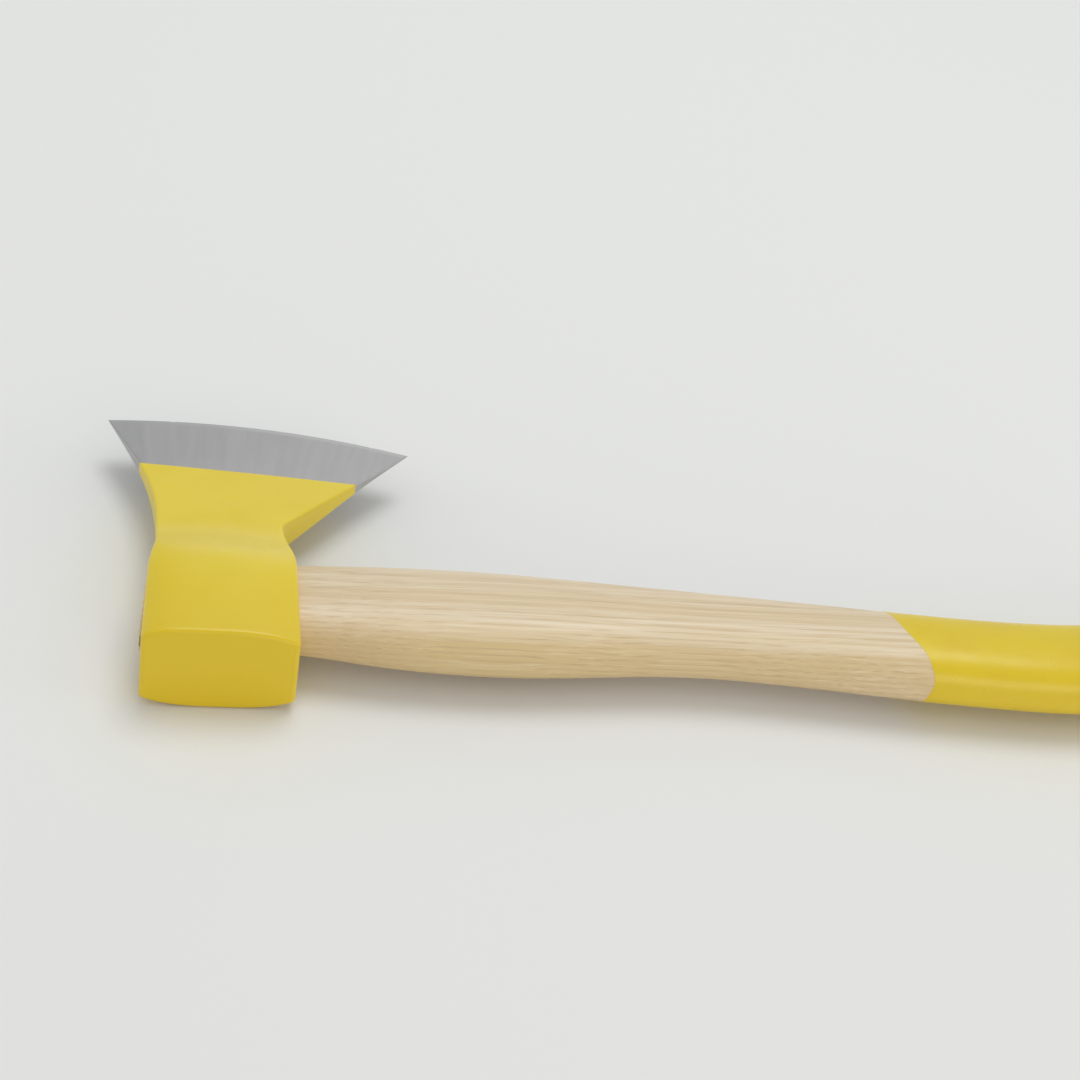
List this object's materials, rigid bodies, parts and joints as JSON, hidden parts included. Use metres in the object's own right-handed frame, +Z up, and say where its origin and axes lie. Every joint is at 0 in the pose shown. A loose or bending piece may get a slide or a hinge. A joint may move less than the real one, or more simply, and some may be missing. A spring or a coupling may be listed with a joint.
{
  "type": "hand axe",
  "caption": "Small hand axe with a yellow-painted forged steel head, bare ground bit, flat hammer poll and a clear-finished ash handle dipped in yellow at the grip.",
  "frame": {"origin": "on the surface that the axe lies on, under the middle of its bounding box", "axes": "+X along the handle from the head to the knob, +Y from the hammer poll to the cutting edge, +Z up, across the thickness of the head as the axe lies on its side"},
  "size_m": [0.3748, 0.1326, 0.0307],
  "materials": {
    "head_paint": "satin yellow enamel",
    "ash_wood": "clear satin varnish",
    "wedge_wood": "sawn hardwood end grain",
    "wedge_steel": "dull pressed steel"
  },
  "bodies": {
    "root": {"axe_head": "head_paint", "handle": "ash_wood", "wood_wedge": "wedge_wood", "ring_wedge": "wedge_steel"}
  },
  "joints": []
}
